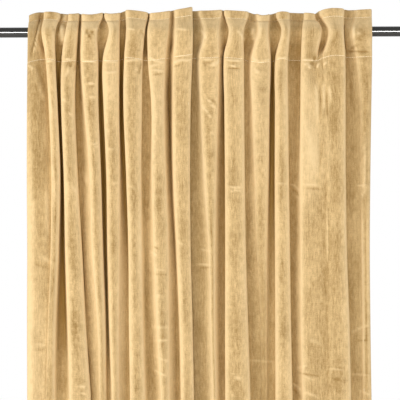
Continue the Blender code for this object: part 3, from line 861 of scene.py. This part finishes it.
class Sheet:
    """A curtain's cloth: its points in mm at any row, each with how much its pile is lifted by rubbing,
    painted sheen and painted highlight and lowered by painted shade.
    """

    def __init__(self, folds, tucked):
        self.folds, self.tucked = folds, tucked
        self.tables = [depth_tables(fold.front, fold.hollow) for fold in folds]
        if tucked:
            self.tables.append(depth_tables(folds[0].front, TUCKED_HOLLOW))
        inset_rows = [(row.height, row.inset) for row in HEADER_ROWS + POCKET_BACK]
        inset_rows += [(LOWER_SEAM, TURNED_HEM_INSET), (TURNED_HEM, TURNED_HEM_INSET)]
        self.inset_heights, self.insets = zip(*inset_rows)

    def row(self, height, rise=0.0, back=0.0, behind=False):
        """The cloth's points from left to right at a height, on its front or its turned-back layer."""
        points = smooth_line(section(self.folds, self.tables, self.tucked, height, behind), STEPS_ACROSS)
        if back:
            points = moved_back(points, back)
        if behind and not self.tucked:
            inset = between(self.inset_heights, self.insets, height)
            points = drawn_in(points, self.folds[-1].edges[0][0], inset)
        share = between(LIFT_HEIGHTS, LIFT_SHARES, height)
        near = creases_near(height)
        row = []
        for p in points:
            z = height + rise + share * p.z
            if behind or back:
                row.append(Vector((p.x, p.y, z, 0)))
            elif z < SHOWN_DEPTH:
                row.append(Vector((p.x, p.y, z, p.w)))
            else:
                out, pale = pushed_out(near, p.x, z)
                row.append(Vector((p.x, p.y - out + seam_pull(height), z, p.w + pale)))
        return row


def shade_depth(y, front):
    """How deep a point lies behind its row's foremost fold: 0 near the front, 1 in the deepest valley."""
    return min(1.0, max(0.0, (y - front - FRONT_ROOM) / DEEPEST_VALLEY))


def make_panel(name, node, cloth):
    """One curtain's cloth: a grid laid over its rows, with its flat size as UV map, then its thickness."""
    rows = [cloth.row(*place) for place in row_plan()]
    across, down = len(rows[0]) - 1, len(rows) - 1
    sheet = bmesh.new()
    uv = sheet.loops.layers.uv.new("cloth")
    hollow = sheet.verts.layers.float.new("hollow")
    rubbed_and_painted_light = sheet.verts.layers.float.new("rubbed_and_painted_light")
    bmesh.ops.create_grid(sheet, x_segments=across, y_segments=down, size=1)
    widths = [0.0]
    reference = rows[len(rows) // 2]
    for a, b in zip(reference, reference[1:]):
        widths.append(widths[-1] + (b - a).xy.length * MM)
    lengths = [0.0]
    middle = across // 2
    for a, b in zip(rows, rows[1:]):
        lengths.append(lengths[-1] + (b[middle] - a[middle]).yzx.length * MM)
    fronts = [min(point.y for point in row) for row in rows]
    for vert in sheet.verts:
        column = round((vert.co.x + 1) / 2 * across)
        row = round((vert.co.y + 1) / 2 * down)
        for loop in vert.link_loops:
            loop[uv].uv = (widths[column], lengths[row])
        point = rows[row][column]
        vert.co = point.xyz * MM
        # painted shade for the valleys, from how deep the point lies behind the row's foremost fold
        vert[hollow] = shade_depth(point.y, fronts[row])
        # rubbing, painted sheen, painted highlight and painted shade on the pile
        vert[rubbed_and_painted_light] = point.w
    bmesh.ops.reverse_faces(sheet, faces=sheet.faces)
    for face in sheet.faces:
        face.smooth = True
    mesh = bpy.data.meshes.new(name)
    sheet.to_mesh(mesh)
    sheet.free()
    mesh.materials.append(velvet_pile)
    mesh.materials.append(velvet_back)
    panel = bpy.data.objects.new(name, mesh)
    bpy.context.scene.collection.objects.link(panel)
    thick = panel.modifiers.new("cloth", "SOLIDIFY")
    thick.thickness = CLOTH_THICKNESS * MM
    thick.offset = 0
    thick.material_offset = 1
    thick.material_offset_rim = 0
    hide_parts(node)
    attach(panel, "root")


# Sewing thread, paler than the pile. Rows of stitches run along both seams of the pocket, down the side
# hems and along the bottom hem, each stitch a short bar lying on the cloth.
THREAD_COLOUR = (1.0, 0.88, 0.62, 1)
STITCH_LENGTH, STITCH_PITCH, STITCH_SIDES = 3.3, 4.3, 5
SEAM_THREAD, SEAM_RISE = 1.0, 1.1
HEM_THREAD, HEM_RISE = 0.6, 0.5
BOTTOM_HEM, HEM_ROWS = 60, 180
FROM_LEFT, FROM_RIGHT = 1, -1
LEFT_HEMS = ((FROM_LEFT, 20), (FROM_RIGHT, 7))
RIGHT_HEMS = ((FROM_LEFT, 5), (FROM_RIGHT, 20))

thread, _, thread_shader = new_material("pale sewing thread")
thread_shader.inputs["Base Color"].default_value = THREAD_COLOUR
thread_shader.inputs["Roughness"].default_value = 0.7
thread_shader.inputs["Sheen Weight"].default_value = 0.3


def in_front(line, out):
    """A line of points moved forward off the cloth."""
    return [Vector((p.x, p.y - out, p.z)) for p in line]


def hem_lines(cloth, hems):
    """The side hems' stitch lines, down the front from the lower seam to the foot."""
    heights = [LOWER_STITCHES - k * (DROP + LOWER_STITCHES) / HEM_ROWS for k in range(HEM_ROWS + 1)]
    rows = [cloth.row(height) for height in heights]
    lines = []
    for order, width in hems:
        line = []
        for row in rows:
            points = [point.xyz for point in row[::order]]
            left, k = width, 0
            while (step := (points[k + 1] - points[k]).xy.length) < left:
                left -= step
                k += 1
            line.append(points[k].lerp(points[k + 1], left / step))
        lines.append(line)
    return lines


def sew(name, cloth, hems):
    """All of a curtain's stitches as one mesh. A hem's width is measured in from its own edge."""
    lines = [(cloth.row(height), SEAM_THREAD / 2, SEAM_RISE) for height in (UPPER_STITCHES, LOWER_STITCHES)]
    lines += [(line, HEM_THREAD / 2, HEM_RISE) for line in hem_lines(cloth, hems)]
    lines.append((cloth.row(BOTTOM_HEM - DROP), HEM_THREAD / 2, HEM_RISE))
    sewn = bmesh.new()
    for line, radius, out in lines:
        line = in_front(line, out)
        gone = 0.0
        for a, b in zip(line, line[1:]):
            length = (b - a).length
            while gone < length:
                centre = a.lerp(b, gone / length)
                turn = (b - a).to_track_quat("Z", "Y").to_matrix().to_4x4()
                bmesh.ops.create_cone(sewn, cap_ends=True, segments=STITCH_SIDES, depth=STITCH_LENGTH * MM,
                                      radius1=radius * MM, radius2=radius * MM,
                                      matrix=Matrix.Translation(centre * MM) @ turn)
                gone += STITCH_PITCH
            gone -= length
    mesh = bpy.data.meshes.new(name)
    sewn.to_mesh(mesh)
    sewn.free()
    mesh.materials.append(thread)
    stitches = bpy.data.objects.new(name, mesh)
    bpy.context.scene.collection.objects.link(stitches)
    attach(stitches, "root")
    return stitches


# Both curtains, each with its own sewing. They are made alike and hang side by side on the rod, and the
# right one's first edge lies tucked into the left one's last valley.
left_cloth = Sheet(LEFT_FOLDS, tucked=False)
left_stitches = sew("left_stitches", left_cloth, LEFT_HEMS)
make_panel("left_velvet", "left_panel", left_cloth)
right_cloth = Sheet(RIGHT_FOLDS, tucked=True)
right_stitches = sew("right_stitches", right_cloth, RIGHT_HEMS)
make_panel("right_velvet", "right_panel", right_cloth)
